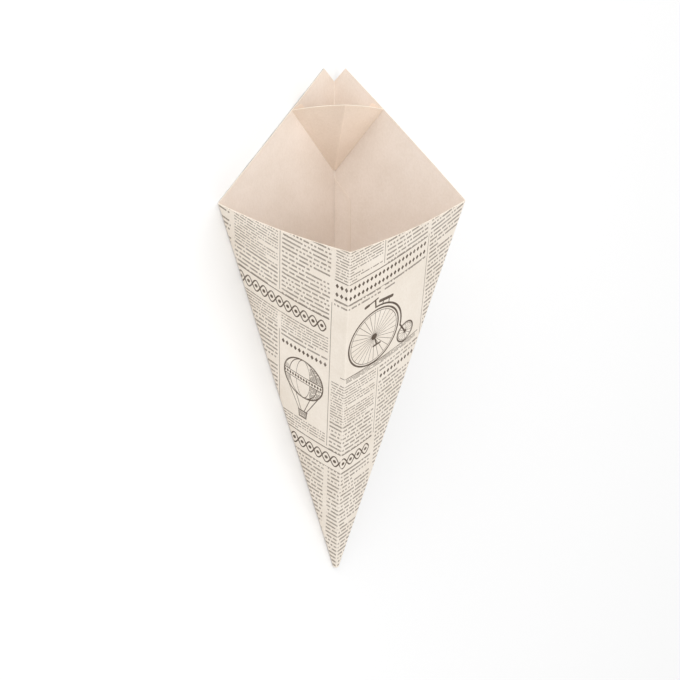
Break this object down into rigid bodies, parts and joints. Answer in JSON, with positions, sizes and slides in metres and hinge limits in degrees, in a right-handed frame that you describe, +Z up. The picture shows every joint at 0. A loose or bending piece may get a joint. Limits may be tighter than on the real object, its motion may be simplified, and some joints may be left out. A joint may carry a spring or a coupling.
{
  "type": "paper fry cone",
  "caption": "Square paper cone for fries, folded and glued from one printed sheet, with twin back peaks and a sauce pocket across the back corner. It lies on one wall.",
  "frame": {"origin": "middle of the floor area that the lying cone covers, at floor height", "axes": "+Z up, +X along the length from the tip to the mouth, +Y towards the side fold that lies on the floor"},
  "size_m": [0.286, 0.106, 0.0941],
  "materials": {
    "paper": "uncoated, matte, printed outside"
  },
  "bodies": {
    "root": {"fry_cone": "paper"}
  },
  "joints": []
}
